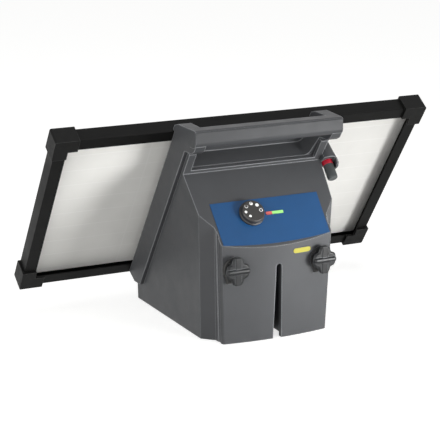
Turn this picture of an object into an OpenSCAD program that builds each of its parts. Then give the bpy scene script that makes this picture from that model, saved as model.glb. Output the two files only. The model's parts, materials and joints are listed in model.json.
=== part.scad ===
// Solar fence energizer: a drafted two-part housing with a carrying handle and a
// post slot, standing on its base, with a framed solar panel on its back.
// Millimetres, +Z up, -Y towards the user, origin at the middle of the base.

/* [Solar panel] */
// Length of the panel over its corner caps
panel_l = 600; // [500:1:700]
// Height of the panel, measured down its slope
panel_h = 319.5; // [318:0.5:340]
// Lean of the panel back from the vertical
panel_lean = 34.1; // [33:0.1:36]
// Y of the panel's top edge, on the housing side
panel_y = -36.2; // [-37:0.1:-35]
// Height of that edge above the ground
panel_z = 298.4; // [297:0.1:300]
// Wall of a corner cap
cap_wall = 3.6; // [3:0.1:4.5]
// Length of a corner cap's legs
cap_leg = 36.2; // [30:0.1:50]
// Depth of the frame section
frame_d = 22.4; // [18:0.2:26]
// Width of the frame's back flange
flange_w = 18.3; // [15:0.1:20]
// Width of the frame's lip over the glass
lip_w = 7.5; // [6:0.1:10]
// Wall of the frame section
frame_t = 1.6; // [1.2:0.1:2]
// Thickness of the glass
glass_t = 3.2; // [2.5:0.1:4]
// Thickness of the cells
cell_t = 0.3; // [0.2:0.05:0.5]
// Thickness of the back sheet with its backing
sheet_t = 1.4; // [0.6:0.1:2]
// Gap between neighbouring cells
cell_gap = 2; // [1:0.5:4]

/* [Housing] */
// Width of the front housing, measured in the panel's plane
front_w = 228; // [222:0.5:231]
// Width of its nose in the same plane
nose_w = 195.4; // [190:0.2:202]
// Width of the rear housing in the same plane
rear_w = 239.6; // [238:0.2:250]
// Draft of the moulded walls
draft_a = 3.26; // [2.8:0.02:3.6]
// Wall of both housings
wall = 3; // [2.4:0.1:3.6]
// Distance of the base's rear wall behind the origin
base_rear = 126.6; // [124:0.2:130]
// Distance of the nose's front corners ahead of the origin
base_front = 119.1; // [116:0.1:122]
// Bow of the front face
front_bow = 7; // [4:0.5:9]
// Forward lean of the front face
front_lean = 1.26; // [0.6:0.02:2]
// Depth of the nose from its corners to the corner bevels
nose_d = 20.8; // [17:0.1:24]
// Depth of the corner bevels
bevel_d = 15.7; // [13:0.1:18]
// Slope of the control face above the horizontal
slope_a = 47.8; // [46:0.1:49]
// Y of a reference line on the control face
slope_y = -87; // [-89:0.1:-85]
// Height of that line
slope_z = 187.1; // [185:0.1:189]
// Drop of the rear ledge below the panel's lower edge
ledge_drop = 5.6; // [4:0.1:8]
// Distance of the parting line ahead of the panel
parting = 33.2; // [31:0.1:35]
// Thickness of the gasket in the parting line
gasket_t = 0.8; // [0.6:0.1:2]
// Depth of the front housing's top flange
flange_d = 6.5; // [5:0.1:8]
// Radius of the nose's upright corners
nose_r = 4.5; // [3.5:0.1:6]
// Width of the upright groove in the nose's sides
groove_w = 7; // [4:0.5:9]
// Depth of that groove
groove_d = 1.4; // [0.6:0.1:1.8]

/* [Handle] */
// Height of the handle's top above the panel's top edge
handle_up = 12.1; // [10.6:0.1:15]
// Distance of the handle's front face ahead of the origin
handle_front = 97; // [94:0.5:104]
// Thickness of the handle bar with its cover
bar_t = 21.4; // [18:0.1:26]
// Height of the bar's front face
bar_h = 21.5; // [19:0.1:26]
// Radius of the bar's lower edges
bar_r = 4.5; // [2:0.5:7]
// Half width of the finger opening
finger_half = 100.5; // [92:0.5:103]
// How far the recess's right wall leans in on its way down
finger_in = 7; // [0:0.5:10]
// How far down the panel the finger recess reaches
finger_h = 42; // [38:0.5:45]
// Corner radius of the finger recess
finger_r = 9; // [5:0.5:14]
// Thickness of the handle's front cover
cover_t = 2.5; // [2:0.1:3.5]
// Thickness of the recess's back wall
recess_t = 8.6; // [6:0.1:10]

/* [Post slot] */
// Width of the slot at the base
slot_base_w = 13.6; // [11:0.2:16]
// Width of the slot at its round top
slot_top_w = 8.4; // [6:0.2:10]
// Height of the slot
slot_h = 113.5; // [95:0.5:116]
// Width of the pocket behind the slot
pocket_w = 30; // [26:0.5:36]
// Depth of the pocket behind the middle of the front face
pocket_d = 48; // [40:0.5:52]
// Thickness of the lips beside the slot
slot_lip = 8; // [5:0.5:10]

/* [Controls] */
// Width of the control label at its top edge
label_w = 173; // [165:0.5:174]
// Height of the label above and below the reference line
label_up = 14.5; // [10:0.5:18]
// Drop of the label's lower corners below the reference line
label_down = 52; // [48:0.5:53]
// Bow of the label's lower edge
label_bow = 6; // [4:0.5:8]
// Thickness of the label
label_t = 0.6; // [0.4:0.1:1]
// Distance of the dial left of the middle
dial_x = 27.8; // [25:0.1:34]
// Drop of the dial's centre below the reference line
dial_drop = 8.5; // [4:0.1:14]
// Diameter of the dial
dial_d = 38; // [32:0.5:44]
// Height of the dial above the control face
dial_t = 10; // [8:0.5:14]
// Diameter of the dial's shaft
shaft_d = 6; // [5:0.1:7]
// Length of the indicator window
window_l = 27.6; // [25:0.2:34]
// Height of the indicator window
window_h = 4.5; // [4:0.1:7]
// X of the indicator window's left end
window_x = -4.7; // [-5:0.1:-2]
// Length of the red part of the window
red_l = 9.5; // [7:0.1:12]
// Drop of the window's centre below the reference line
window_drop = 10.4; // [6:0.1:14]
// Width of the yellow plate on the front
plate_w = 28.4; // [24:0.2:30]
// Height of the yellow plate
plate_h = 7; // [6:0.1:9]
// X of the plate's centre
plate_x = 37.1; // [34:0.1:37.5]
// Height of the plate's centre
plate_z = 129.2; // [125:0.1:130]

/* [Terminals] */
// Distance of each terminal from the middle
term_x = 69.6; // [69:0.1:70.2]
// Height of the terminals
term_z = 112.6; // [110:0.2:116]
// Diameter of the terminal stud
stud_d = 8; // [6:0.1:9]
// Radius of the insulator's round end
insul_r = 17; // [15.5:0.1:17.2]
// Thickness of the insulator
insul_t = 4; // [3.5:0.1:8]
// Diameter of the clamp washer
washer_d = 28; // [24:0.5:32]
// Thickness of the clamp washer
washer_t = 1.8; // [1.2:0.1:2.5]
// Diameter of the knob over its lobes
knob_d = 43.2; // [38:0.2:46]
// Length of the knob
knob_l = 14.6; // [14:0.2:18]
// Thickness of the ridge across the knob
ridge_t = 5.6; // [4:0.2:8]
// How far the knob screws out
knob_travel = 5; // [3:0.5:6]

/* [Charge port] */
// Distance of the port's axis right of the middle
port_x = 121.4; // [121.2:0.1:123]
// Height of the port's mouth above the reference line, up the slope
port_up = 61.7; // [58:0.1:64]
// Radius of the port boss at its mouth
port_r = 16; // [14.5:0.1:17]
// Length of the port boss
port_l = 32; // [28:0.5:36]
// Diameter of the plug
plug_d = 15.6; // [14:0.1:15.8]
// Length of the plug's body
plug_l = 23; // [18:0.5:30]
// Length of the red seal ring
seal_l = 6.4; // [5:0.1:10]

/* [Inside] */
// Length of the battery
batt_l = 151; // [140:1:155]
// Width of the battery
batt_w = 65; // [60:0.5:68]
// Height of the battery case
batt_h = 94; // [88:0.5:98]
// Length of the circuit board
board_l = 150; // [140:1:156]
// Width of the circuit board
board_w = 66; // [60:0.5:70]
// Thickness of the circuit board
board_t = 1.6; // [1.2:0.1:2]
// Depth of the board under the control face
board_drop = 15.4; // [14:0.1:18]

/* [Hidden] */
$fn = 64;
far = 400;               // longer than anything it cuts
gap = 0.3;               // between pieces that only come close
fit = 0.08;              // radial clearance of a running fit
bow_fn = 360;            // facets of the bowed front in a preview

// ---- shared values ----
c_lean = cos(panel_lean);
s_lean = sin(panel_lean);
draft = tan(draft_a);
side_lean = atan(draft * (s_lean - c_lean * tan(front_lean)));
bevel_y = nose_d - base_front;               // where the nose meets the bevels
side_y = bevel_y + bevel_d;                  // where the bevels meet the side walls
front_y = -base_front - front_bow;           // foremost line of the front face, at the base

// the panel's section, in distances k out of its back plane
rail_k = cap_wall;                           // back of the frame
rail_front = rail_k + frame_d;
cap_d = rail_front + 2.2;                    // depth of a corner cap
lip_k = rail_front - frame_t;                // face of the glass
glass_k = lip_k - glass_t;
cell_k = glass_k - cell_t;
sheet_k = cell_k - sheet_t;                  // back of the back sheet
tub_k = -parting - gasket_t;                 // rim of the front housing
strip_k = tub_k - flange_d + gasket_t;       // front of its top flange
carrier_top = cap_wall - gap;                // the rear housing hooks over the top rail here
carrier_end = panel_h - 5.5;                 // lower end of the rear housing
handle_z = panel_z + handle_up;              // top of the handle
ledge_z = panel_z - panel_h * c_lean - ledge_drop;
tub_top = 8;                                 // upper end of the front housing
hollow_top = finger_h + 8;                   // upper end of the hollow in both housings
back_in = rail_k - wall;                     // inner face of the rear housing's back
recess_k = rail_k - recess_t;                // back of the finger recess

// a point h down the panel and k out of its back plane, as [y, z]
function pan(h, k) = [panel_y + h * s_lean + k * c_lean, panel_z - h * c_lean + k * s_lean];
function k_of(y, z) = (y - panel_y) * c_lean + (z - panel_z) * s_lean;
function h_of(y, z) = (y - panel_y) * s_lean - (z - panel_z) * c_lean;
// half of a drafted width at the base, and at a distance k
function half_at_base(w, y) = w / 2 + draft * k_of(y, 0);
function half_at(w, k) = w / 2 + draft * k;
// where a plane at k has the height z, and where one h down the panel has it
function y_at(z, k) = panel_y + (k - (z - panel_z) * s_lean) / c_lean;
function k_at(z, h) = (z - panel_z + h * c_lean) / s_lean;
// height of the control face, d under its surface
function slope_height(y, d = 0) = slope_z + (y - slope_y) * tan(slope_a) - d / cos(slope_a);
// where that face meets a plane at k, or a plane h down the panel
function slope_h(k, d = 0) =
    (panel_z + s_lean * k - slope_height(panel_y + c_lean * k, d))
    / (c_lean + s_lean * tan(slope_a));
function slope_k(h, d = 0) =
    (slope_height(panel_y + s_lean * h, d) - panel_z + c_lean * h)
    / (s_lean - c_lean * tan(slope_a));
// an outline with its sides moved in by w, the points going round anticlockwise
function edge_normal(p, q) = [p[1] - q[1], q[0] - p[0]] / norm(q - p);
function inset(pts, w) = [
    for (i = [0 : len(pts) - 1])
        let (n = len(pts), p = pts[(i + n - 1) % n], q = pts[i], r = pts[(i + 1) % n],
             a = edge_normal(p, q), b = edge_normal(q, r))
            q + w * (a + b) / (1 + a * b)
];

nose_half = half_at_base(nose_w, -base_front);
bow_r = (nose_half * nose_half + front_bow * front_bow) / (2 * front_bow);
// how far the bowed front lies behind its foremost line at x
function bow_back(x) = bow_r - sqrt(bow_r * bow_r - x * x);

// ---- frames that the pieces are drawn in ----
// x as it is, y down the panel, z out of its back plane
module in_panel() {
    translate([0, panel_y, panel_z]) rotate([panel_lean - 90, 0, 0]) children();
}
// x as it is, y up the control face, z out of it
module in_slope() {
    translate([0, slope_y, slope_z]) rotate([slope_a, 0, 0]) children();
}
// an outline in [y, z] drawn out along X
module across(width) {
    rotate([90, 0, 90]) linear_extrude(width, center = true) children();
}
// an outline in [x, z] drawn out along Y from y to y + depth
module along(y, depth) {
    translate([0, y + depth, 0]) rotate([90, 0, 0]) linear_extrude(depth) children();
}
module in_lean() {
    rotate([front_lean, 0, 0]) children();
}
module panel_box(x, h, k) {
    translate([-x / 2, h[0], k[0]]) cube([x, h[1] - h[0], k[1] - k[0]]);
}
module both_sides(x) {
    for (side = [-1, 1]) translate([side * x, 0, 0]) children();
}

// ---- front housing ----
// the nose's upright corner: flats on a circle, the last one running on past the front
nose_at = [nose_half - nose_r,
           front_y + bow_r - sqrt(pow(bow_r - nose_r, 2) - pow(nose_half - nose_r, 2))];
nose_bends = [for (a = [-12, -32, -52]) nose_at + nose_r / cos(10) * [cos(a), sin(a)]];
// the ground beside the front housing, on its right
beside = [
    [half_at_base(front_w, side_y), side_y],
    [half_at_base(nose_w, bevel_y), bevel_y],
    for (bend = nose_bends) bend,
    nose_bends[2] - 2 * far * [sin(62), cos(62)],
    [far, -2 * far],
    [far, base_rear + 10],
    [half_at_base(front_w, base_rear + 10), base_rear + 10]
];
tub_profile = [
    [-far, 0],
    [base_rear, 0],
    [base_rear, ledge_z],
    [y_at(ledge_z, tub_k), ledge_z],
    pan(tub_top, tub_k),
    pan(tub_top, strip_k),
    pan(slope_h(strip_k), strip_k),
    [-far, slope_height(-far)]
];
rim_end = h_of(y_at(ledge_z, tub_k), ledge_z);     // lower end of the rim
rim_half = half_at(front_w, tub_k);
boss_r = 5.2;
boss_d = 25;                                       // depth of the housing screws' bosses
boss_hole = 18;                                    // depth of the holes in them
boss_rib = 3;                                      // thickness of the ribs beside them
screw_x = rim_half - wall - boss_r - gap;          // housing screws, beside the rim
screw_ends = [hollow_top + 20, rim_end - 18];
screw_h = [screw_ends[0], (screw_ends[0] + screw_ends[1]) / 2, screw_ends[1]];
pocket_half = pocket_w / 2;
pocket_wall = 2.5;
pocket_top = slot_h + 3.5;                         // the pocket reaches over the slot
pocket_back = front_y + pocket_d;
pad_d = 6.5;                                       // of the pads behind the terminals
pad_rim = 2;                                       // how far the pads reach past the seats
term_y = front_y + bow_back(term_x) + 0.4;         // floor of the terminal pockets
batt_y = 5;                                        // front of the battery
batt_foot = [batt_l / 2 + 12, 36];                 // the clamp's bolts
foot_boss = 8;
post_at = [[-1, 0], [1, 0], [-1, 1], [1, 1]];      // corners of the circuit board

module side_cut(w) {
    rotate([front_lean, side_lean, 0])
        linear_extrude(3 * far, center = true)
            polygon(inset(beside, -w));
}
module bowed_front(extra) {
    in_lean() translate([0, front_y + bow_r, 0])
        cylinder(h = 2 * far, r = bow_r + extra, center = true, $fn = bow_fn);
}
module tub_shape(profile, w) {
    difference() {
        intersection() {
            across(far) polygon(profile);
            bowed_front(-w);
        }
        side_cut(w);
        mirror([1, 0, 0]) side_cut(w);
    }
}
module tub_hollow() {
    ledge_in = [y_at(ledge_z, tub_k) - wall, ledge_z - wall];
    tub_shape([
        [-far, wall],
        [base_rear - wall, wall],
        [base_rear - wall, ledge_z - wall],
        ledge_in,
        [ledge_in[0], ledge_in[1] + wall / c_lean],
        pan(rim_end - wall, 0),
        pan(hollow_top, 0),
        pan(hollow_top, slope_k(hollow_top, wall)),
        [-far, slope_height(-far, wall)]
    ], wall);
}
// a groove down each side of the nose
module nose_groove() {
    intersection() {
        union() {
            side_cut(groove_d);
            mirror([1, 0, 0]) side_cut(groove_d);
        }
        translate([-far, bevel_y - 7.5 - groove_w, -1]) cube([2 * far, groove_w, far]);
    }
}
module shield(r, half, drop) {
    circle(r);
    polygon([[-half, -drop], [half, -drop], [r * 0.96, 0], [-r * 0.96, 0]]);
}
insul_half = insul_r - 6;
insul_drop = insul_r + 4;
module slot_outline() {
    r = slot_top_w / 2;
    translate([0, slot_h - r]) circle(r);
    polygon([
        [-slot_base_w / 2, -1], [slot_base_w / 2, -1], [r, slot_h - r], [-r, slot_h - r]
    ]);
}
module board_posts(r, low, high) {
    for (at = post_at)
        translate([at[0] * (board_l / 2 - 6), board_up + (at[1] - 0.5) * (board_w - 12), low])
            cylinder(h = high - low, r = r);
}
board_up = -11;                                    // middle of the board, up the slope
board_top = -board_drop + board_t;
post_r = 3.5;                                      // of the posts that carry the board
board_screw_l = 8;                                 // depth of the screw holes in them

module front_housing() {
    color("#3b3c3e") difference() {
        union() {
            difference() {
                tub_shape(tub_profile, 0);
                tub_hollow();
            }
            intersection() {
                union() {
                    // pocket behind the post slot
                    translate([-pocket_half - pocket_wall, front_y - 5, 0])
                        cube([pocket_w + 2 * pocket_wall, pocket_d + 5 + pocket_wall,
                              pocket_top + pocket_wall]);
                    // pads that the terminals bolt through
                    both_sides(term_x) translate([0, 0, term_z]) along(term_y, pad_d)
                        shield(insul_r + pad_rim, insul_half + pad_rim, insul_drop + pad_rim);
                    both_sides(batt_foot[0]) translate([0, batt_foot[1], 0])
                        cylinder(h = wall + foot_boss, r = boss_r);
                    in_slope() board_posts(post_r, board_top, 0);
                    in_panel() for (h = screw_h) {
                        both_sides(screw_x) translate([0, h, tub_k - boss_d])
                            cylinder(h = boss_d, r = boss_r);
                        difference() {
                            panel_box(far, [h - boss_rib / 2, h + boss_rib / 2],
                                      [tub_k - boss_d, tub_k]);
                            panel_box(2 * screw_x, [h - boss_rib, h + boss_rib],
                                      [tub_k - boss_d - 1, tub_k + 1]);
                        }
                    }
                }
                tub_shape(tub_profile, 0.1);
            }
        }
        nose_groove();
        // finger notch in the top flange
        in_panel() panel_box(2 * finger_half, [-far, finger_h], [strip_k - 1, tub_k + 1]);
        // post slot and its pocket, open below
        along(front_y - 10, 10 + slot_lip + 1) slot_outline();
        translate([-pocket_half, front_y + slot_lip, -1])
            cube([pocket_w, pocket_d - slot_lip, pocket_top + 1]);
        // seats and holes of the terminals
        both_sides(term_x) translate([0, 0, term_z]) {
            along(term_y - far, far) shield(insul_r + gap, insul_half + gap, insul_drop + gap);
            along(term_y - 1, pad_d + 2) circle(stud_d / 2 + gap);
        }
        // shaft hole, window and screw holes of the control face
        in_slope() {
            translate([-dial_x, -dial_drop, -wall - 1])
                cylinder(h = wall + 2, r = shaft_d / 2 + shaft_room);
            window_hole(-wall - 1, wall + 2);
            board_posts(board_screw_r, board_top - 1, board_top + board_screw_l);
        }
        in_panel() for (h = screw_h) both_sides(screw_x)
            translate([0, h, tub_k - boss_hole]) cylinder(h = boss_hole + 1, r = house_screw_r);
        both_sides(batt_foot[0]) translate([0, batt_foot[1], wall])
            cylinder(h = foot_boss + 1, r = bolt_r);
    }
}

// ---- rear housing with its arms and handle ----
bar_rear = -handle_front + bar_t;
hook_k = rail_k + 5.4;                             // how far the hook reaches over the rail
bar_low = handle_z - bar_h;
arm_r = 6;                                         // of the arms' lower front corners
arm_low = pan(tub_top - 2.3, -parting);            // where the arms leave the parting line
carrier_profile = [
    [-handle_front, bar_low],
    [-handle_front + 7, bar_low - 9.7],
    [-handle_front + 16, arm_low[1]],
    arm_low,
    [y_at(ledge_z + gap, -parting), ledge_z + gap],
    pan(carrier_end, k_at(ledge_z + gap, carrier_end)),
    pan(carrier_end, rail_k),
    pan(carrier_top, rail_k),
    pan(carrier_top, hook_k),
    [pan(carrier_top, hook_k)[0] - 5.2, handle_z - 3],
    [-handle_front + 53, handle_z + 0.5],
    [-handle_front + 4, handle_z],
    [-handle_front + 1, handle_z - 1.2],
    [-handle_front, handle_z - 4]
];
port_taper = 4.5;                                  // how much the boss narrows on its way up
port_end = 3;                                      // solid end of the boss
collar_l = 11;                                     // length of its half collar
collar_x = 9;                                      // how far off the axis the collar starts
grommet_at = [board_l / 2 - 15, 118];               // where the panel's lead comes through
grommet_r = 5;

module carrier_plan(w) {
    rotate([90, 0, 0]) linear_extrude(2 * far, center = true) polygon([
        [half_at(rear_w, -far) - w, -far], [half_at(rear_w, far) - w, far],
        [-half_at(rear_w, far) + w, far], [-half_at(rear_w, -far) + w, -far]
    ]);
}
// the bar between the arms, in [y, z]
module bar_section() {
    translate([-far, bar_low + bar_r]) square([bar_rear + far, far]);
    translate([-far, bar_low]) square([bar_rear + far - bar_r, far]);
    translate([bar_rear - bar_r, bar_low + bar_r]) circle(bar_r);
}
// what rounds the bar's lower front edge and the corners at its ends
module bar_rounding() {
    across(2 * far) difference() {
        translate([-handle_front - 1, bar_low - 1]) square(bar_r + 1);
        translate([-handle_front + bar_r, bar_low + bar_r]) circle(bar_r);
    }
    end = half_at(rear_w, k_of(-handle_front, bar_low));
    for (side = [0, 1]) mirror([side, 0, 0])
        translate([end, 0, bar_low]) along(-handle_front - 1, 12) difference() {
            translate([-arm_r, -1]) square([arm_r + 1, arm_r + 1]);
            translate([-arm_r, arm_r]) circle(arm_r);
        }
}
module carrier_shape() {
    intersection() {
        across(far) polygon(carrier_profile);
        in_panel() carrier_plan(0);
    }
}
module carrier_hollow() {
    floor_z = ledge_z + gap + wall;
    intersection() {
        across(far) polygon([
            pan(hollow_top, -parting + wall),
            [y_at(floor_z, -parting + wall), floor_z],
            pan(carrier_end - wall, k_at(floor_z, carrier_end - wall)),
            pan(carrier_end - wall, back_in),
            pan(hollow_top, back_in)
        ]);
        in_panel() carrier_plan(wall);
    }
}
module recess_outline() {
    r = finger_r;
    left = [-finger_half + r, finger_h - r];
    right = [finger_half - finger_in - r, finger_h - r];
    top = [finger_half, 0] - right;
    a = atan2(top[1], top[0]) + acos(r / norm(top));  // where the right wall meets the corner
    polygon([
        [-finger_half, -far], [finger_half, -far], [finger_half, 0],
        right + r * [cos(a), sin(a)], right, [right[0], finger_h], [left[0], finger_h],
        left, [-finger_half, left[1]]
    ]);
    translate(left) circle(r);
    translate(right) circle(r);
}
module on_port(y) {
    in_slope() translate([port_x, y, 0]) rotate([-90, 0, 0]) children();
}
// the boss, and the half collar that wraps the seal on its outer side
module port_boss() {
    on_port(port_up) cylinder(h = port_l, r1 = port_r, r2 = port_r - port_taper);
    difference() {
        on_port(port_up - collar_l) rotate_extrude() polygon([
            [port_r - 4.5, 0], [port_r - 1.5, 0], [port_r + 0.6, collar_l * 0.45],
            [port_r, collar_l + 1], [port_r - 4.5, collar_l + 1]
        ]);
        translate([port_x + collar_x - far, -far, 0]) cube([far, 2 * far, far]);
    }
}
module rear_housing() {
    color("#3b3c3e") difference() {
        union() {
            difference() {
                carrier_shape();
                carrier_hollow();
                // opening that the front housing's hollow looks through
                in_panel() panel_box(2 * (rim_half - 2 * wall), [hollow_top, rim_end - 2 * wall],
                                     [-parting - 1, -parting + wall + 1]);
                // finger opening round the bar, and the hook cut away between the arms
                difference() {
                    in_panel() translate([0, 0, recess_k - far]) linear_extrude(far)
                        recess_outline();
                    across(2 * far) bar_section();
                }
                in_panel() panel_box(2 * finger_half, [-far, cap_wall], [recess_k - 1, far]);
                bar_rounding();
            }
            // the port's boss, clear of the front housing
            difference() {
                port_boss();
                in_panel() rotate([90, 0, 0]) linear_extrude(2 * far, center = true) polygon([
                    [half_at(front_w, -far) + gap, -far],
                    [half_at(front_w, -parting) + gap, -parting + wall / 2],
                    [0, -parting + wall / 2], [0, -far]
                ]);
            }
            in_panel() {
                // columns that the housing screws pull on
                for (h = screw_h) both_sides(screw_x) translate([0, h, tub_k])
                    cylinder(h = back_in - tub_k + 1, r = boss_r - 0.5);
                // tabs that hold the frame's lower flange
                both_sides(tab_x) {
                    panel_box(tab_w, [tab_h - tab_l, tab_h], [rail_k - 1, tab_k + tab_t]);
                    panel_box(tab_w, [tab_h - tab_l, tab_h + tab_l], [tab_k, tab_k + tab_t]);
                }
            }
        }
        on_port(port_up - 1) cylinder(h = port_lip + 1, r = port_seat_r);
        on_port(port_up) cylinder(h = port_l - port_end, r = socket_r);
        in_panel() {
            for (h = screw_h) both_sides(screw_x) {
                translate([0, h, tub_k - 1]) cylinder(h = far, r = house_screw_r + gap);
                translate([0, h, back_in - head_seat])
                    cylinder(h = far, r = house_head_r + gap);
            }
            both_sides(panel_screw[0]) translate([0, panel_screw[1], recess_k - 1])
                cylinder(h = recess_t + 2, r = panel_screw_r);
            translate([grommet_at[0], grommet_at[1], back_in - 1])
                cylinder(h = wall + 2, r = grommet_r);
        }
        // seat of the handle's cover
        translate([-far, -handle_front - 1, cover_z[0]])
            cube([2 * far, 1 + cover_t, cover_z[1] - cover_z[0]]);
    }
}
cover_z = [bar_low + bar_r + 1, handle_z - 4.6];   // the cover's seat in the bar's front
module handle_cover() {
    color("#4a4b4d") difference() {
        intersection() {
            translate([-far, -handle_front, cover_z[0] + gap])
                cube([2 * far, cover_t, cover_z[1] - cover_z[0] - 2 * gap]);
            in_panel() carrier_plan(0);
        }
        bar_rounding();
    }
}

// ---- what joins the housings ----
house_screw_r = 1.9;
house_head_r = 3.8;
head_seat = 3;                                     // how far the heads sink into the columns
module housing_gasket() {
    color("#1d1d1e") in_panel() difference() {
        panel_box(2 * rim_half, [tub_top, rim_end], [tub_k, -parting]);
        panel_box(2 * (rim_half - wall), [hollow_top, rim_end - wall], [tub_k - 1, -parting + 1]);
        panel_box(2 * finger_half, [0, finger_h], [tub_k - 1, -parting + 1]);
    }
}
module screw(r, head_r, head_h, l) {
    cylinder(h = head_h, r = head_r);
    translate([0, 0, -l]) cylinder(h = l, r = r);
}
module housing_screws() {
    color("silver") in_panel() for (h = screw_h) both_sides(screw_x)
        translate([0, h, back_in - head_seat])
            screw(house_screw_r, house_head_r, 2.6, back_in - head_seat - tub_k + boss_hole - 1);
}

// ---- control face ----
label_low = label_down + label_bow;
label_r = (pow(label_w / 2, 2) + pow(label_bow, 2)) / (2 * label_bow);
label_in = 1.2;                                    // how far its lower corners stand in
shaft_room = 1.2;                                  // round the dial's shaft
module window_hole(low, depth) {
    translate([window_x - gap, -window_drop - window_h / 2 - gap, low])
        cube([window_l + 2 * gap, window_h + 2 * gap, depth]);
}
module control_label() {
    color("#35619a") in_slope() difference() {
        linear_extrude(label_t) intersection() {
            polygon([
                [-label_w / 2, label_up], [label_w / 2, label_up],
                [label_w / 2 - label_in, -label_low], [-label_w / 2 + label_in, -label_low]
            ]);
            translate([0, label_r - label_low]) circle(label_r, $fn = bow_fn);
        }
        translate([-dial_x, -dial_drop, -1])
            cylinder(h = label_t + 2, r = shaft_d / 2 + shaft_room);
        window_hole(-1, label_t + 2);
    }
}
module yellow_plate() {
    color("#e8e46e") intersection() {
        difference() {
            bowed_front(label_t);
            bowed_front(0);
        }
        translate([plate_x, 0, plate_z]) along(front_y - 10, 40) {
            square([plate_w - plate_h, plate_h], center = true);
            both_sides((plate_w - plate_h) / 2) circle(plate_h / 2);
        }
    }
}
dial_low = label_t + gap;
module dial_knob() {
    r = dial_d / 2;
    color("#46413e") in_slope() translate([-dial_x, -dial_drop, 0]) difference() {
        rotate_extrude() polygon([
            [0, dial_low], [r, dial_low], [r, dial_low + 3], [r - 1, dial_low + 3.6],
            [r - 1.8, dial_low + dial_t - 1.2], [r - 3, dial_low + dial_t], [0, dial_low + dial_t]
        ]);
        translate([0, 0, dial_low - 1]) cylinder(h = dial_t - 2, r = shaft_d / 2);
    }
}
switch_top = -wall - 1.2;
module dial_shaft() {
    color("silver") in_slope() translate([-dial_x, -dial_drop, board_top + 3])
        cylinder(h = dial_low + dial_t - 3 - board_top - 3, r = shaft_d / 2);
}
module rotary_switch() {
    color("#2f5f3a") in_slope() translate([-dial_x, -dial_drop, 0]) difference() {
        union() {
            translate([-12, -12, board_top]) cube([24, 24, switch_top - board_top - 2]);
            translate([0, 0, board_top]) cylinder(h = switch_top - board_top, r = shaft_d / 2 + 3);
        }
        translate([0, 0, board_top + 2]) cylinder(h = far, r = shaft_d / 2 + fit);
    }
}
module window_part(x, l) {
    translate([x, -window_drop - window_h / 2, -wall]) cube([l, window_h, wall + label_t + 0.5]);
    translate([x, -window_drop - window_h / 2 - 1.5, -wall - 1.5])
        cube([l, window_h + 3, 1.5]);
}
module window_red() {
    color("#c86e69") in_slope() window_part(window_x, red_l);
}
module window_green() {
    color("#aaeb96") in_slope() window_part(window_x + red_l, window_l - red_l);
}

// ---- circuit board ----
board_screw_r = 1.5;
plug_t = 8;
plug_up = 12;
module circuit_board() {
    color("#2b6b3c") in_slope() difference() {
        translate([-board_l / 2, board_up - board_w / 2, board_top - board_t])
            cube([board_l, board_w, board_t]);
        board_posts(board_screw_r + gap, board_top - board_t - 1, board_top + 1);
    }
}
module board_screws() {
    color("silver") in_slope() for (at = post_at)
        translate([at[0] * (board_l / 2 - 6), board_up + (at[1] - 0.5) * (board_w - 12),
                   board_top - board_t])
            mirror([0, 0, 1]) screw(board_screw_r, 2.8, 2, board_t + board_screw_l - 2);
}
module board_parts() {
    low = board_up - board_w / 2;
    can_r = 3.2;
    color("#202224") in_slope() {
        // lamps behind the window
        for (x = [window_x + red_l / 2, window_x + red_l + 6, window_x + window_l - 5])
            translate([x, -window_drop, board_top]) cylinder(h = board_drop * 0.45, r = 1.5);
        // driver, relay and regulator along the edges
        translate([board_l * 0.21, low + 4, board_top]) cube([26, 9, 4]);
        translate([-board_l / 2 + 13, low + 10, board_top]) cube([18, 14, 3.4]);
        translate([board_l * 0.21, board_up + 13, board_top]) cube([14, 12, 8]);
        for (i = [0 : 3]) translate([-14 + 3 * can_r * i, low + 10, board_top])
            cylinder(h = board_drop * 0.5, r = can_r);
        // socket of the panel's lead, on the inner face
        translate([grommet_at[0] - 6, plug_up - 7, -board_drop - plug_t]) cube([12, 14, plug_t]);
    }
}

// ---- pulse parts on the floor ----
coil_at = [48, -38];
core_w = 56;
core_h = 46;
core_d = 18;
core_leg = 9;
module transformer_core() {
    color("#3a3a3c") translate([coil_at[0], coil_at[1], wall]) difference() {
        translate([-core_w / 2, -core_d / 2, 0]) cube([core_w, core_d, core_h]);
        both_sides(core_w / 4) translate([-core_w / 4 + core_leg, -core_d, core_leg])
            cube([core_w / 2 - 2 * core_leg + core_leg / 2 - 0.5, 2 * core_d, core_h - 2 * core_leg]);
    }
}
module transformer_coil() {
    color("#b0602c") translate([coil_at[0], coil_at[1], wall + core_leg]) difference() {
        translate([-core_w / 2 + core_leg + 1, -core_d, 0.3])
            cube([core_w - 2 * core_leg - 2, 2 * core_d, core_h - 2 * core_leg - 0.6]);
        translate([-core_leg, -core_d / 2 - 0.3, -1]) cube([2 * core_leg, core_d + 0.6, core_h]);
    }
}
cap_can_r = 20;
cap_can_h = 62;
module storage_capacitor() {
    color("#d8d4c8") translate([-coil_at[0], coil_at[1] + 2, wall]) {
        cylinder(h = cap_can_h, r = cap_can_r);
        both_sides(cap_can_r * 0.45) cylinder(h = cap_can_h + 6, r = 1.5);
    }
}

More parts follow.
